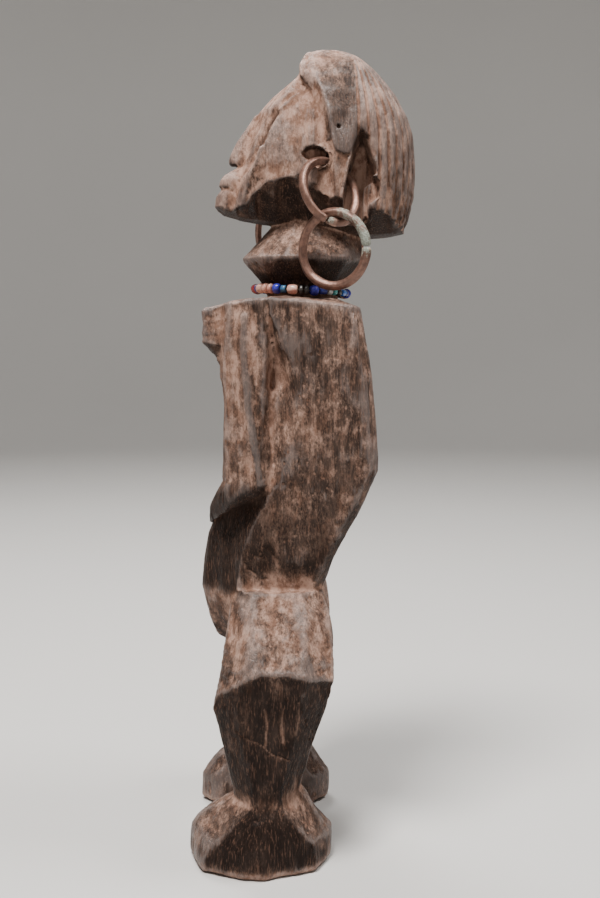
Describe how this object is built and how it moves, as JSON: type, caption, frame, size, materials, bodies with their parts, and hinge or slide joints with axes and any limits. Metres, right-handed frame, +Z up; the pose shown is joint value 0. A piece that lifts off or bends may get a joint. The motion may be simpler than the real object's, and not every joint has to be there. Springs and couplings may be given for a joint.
{
  "type": "carved standing figure",
  "caption": "Standing figure carved from one block of dark wood, with fluted hair, a neck collar, copper ear rings and a string of glass beads at the neck.",
  "frame": {"origin": "middle of the bounding box on the ground, between the soles", "axes": "+Z up, the figure faces -Y and its left side is +X"},
  "size_m": [0.1118, 0.099, 0.3491],
  "materials": {
    "dark_wood": "worn patina, polished on the ridges and dusty in the cuts",
    "copper": "dull brown copper with green tarnish",
    "glass_black": "opaque glass",
    "glass_blue": "opaque glass",
    "glass_cobalt": "opaque glass",
    "glass_navy": "opaque glass",
    "glass_pink": "opaque glass",
    "glass_red": "opaque glass",
    "glass_teal": "opaque glass",
    "glass_turquoise": "opaque glass",
    "glass_violet": "opaque glass",
    "glass_white": "opaque glass",
    "thread": "twisted thread"
  },
  "bodies": {
    "root": {"figure": "dark_wood", "left_ear_ring": "copper", "left_linked_ring": "copper", "right_ear_ring": "copper", "bead_01_red": "glass_red", "bead_02_red": "glass_red", "bead_03_violet": "glass_violet", "bead_04_pink": "glass_pink", "bead_05_pink": "glass_pink", "bead_06_pink": "glass_pink", "bead_07_cobalt": "glass_cobalt", "bead_08_teal": "glass_teal", "bead_09_pink": "glass_pink", "bead_10_black": "glass_black", "bead_11_black": "glass_black", "bead_12_cobalt": "glass_cobalt", "bead_13_navy": "glass_navy", "bead_14_white": "glass_white", "bead_15_turquoise": "glass_turquoise", "bead_16_black": "glass_black", "bead_17_blue": "glass_blue", "bead_18_navy": "glass_navy", "bead_19_cobalt": "glass_cobalt", "bead_20_white": "glass_white", "bead_21_pink": "glass_pink", "bead_22_black": "glass_black", "bead_23_teal": "glass_teal", "bead_24_cobalt": "glass_cobalt", "bead_25_pink": "glass_pink", "bead_26_navy": "glass_navy", "bead_27_white": "glass_white", "bead_28_blue": "glass_blue", "bead_29_pink": "glass_pink", "bead_30_black": "glass_black", "bead_31_cobalt": "glass_cobalt", "bead_32_turquoise": "glass_turquoise", "bead_33_pink": "glass_pink", "bead_34_black": "glass_black", "bead_35_blue": "glass_blue", "bead_36_navy": "glass_navy", "bead_37_pink": "glass_pink", "bead_38_red": "glass_red", "bead_thread": "thread"}
  },
  "joints": []
}
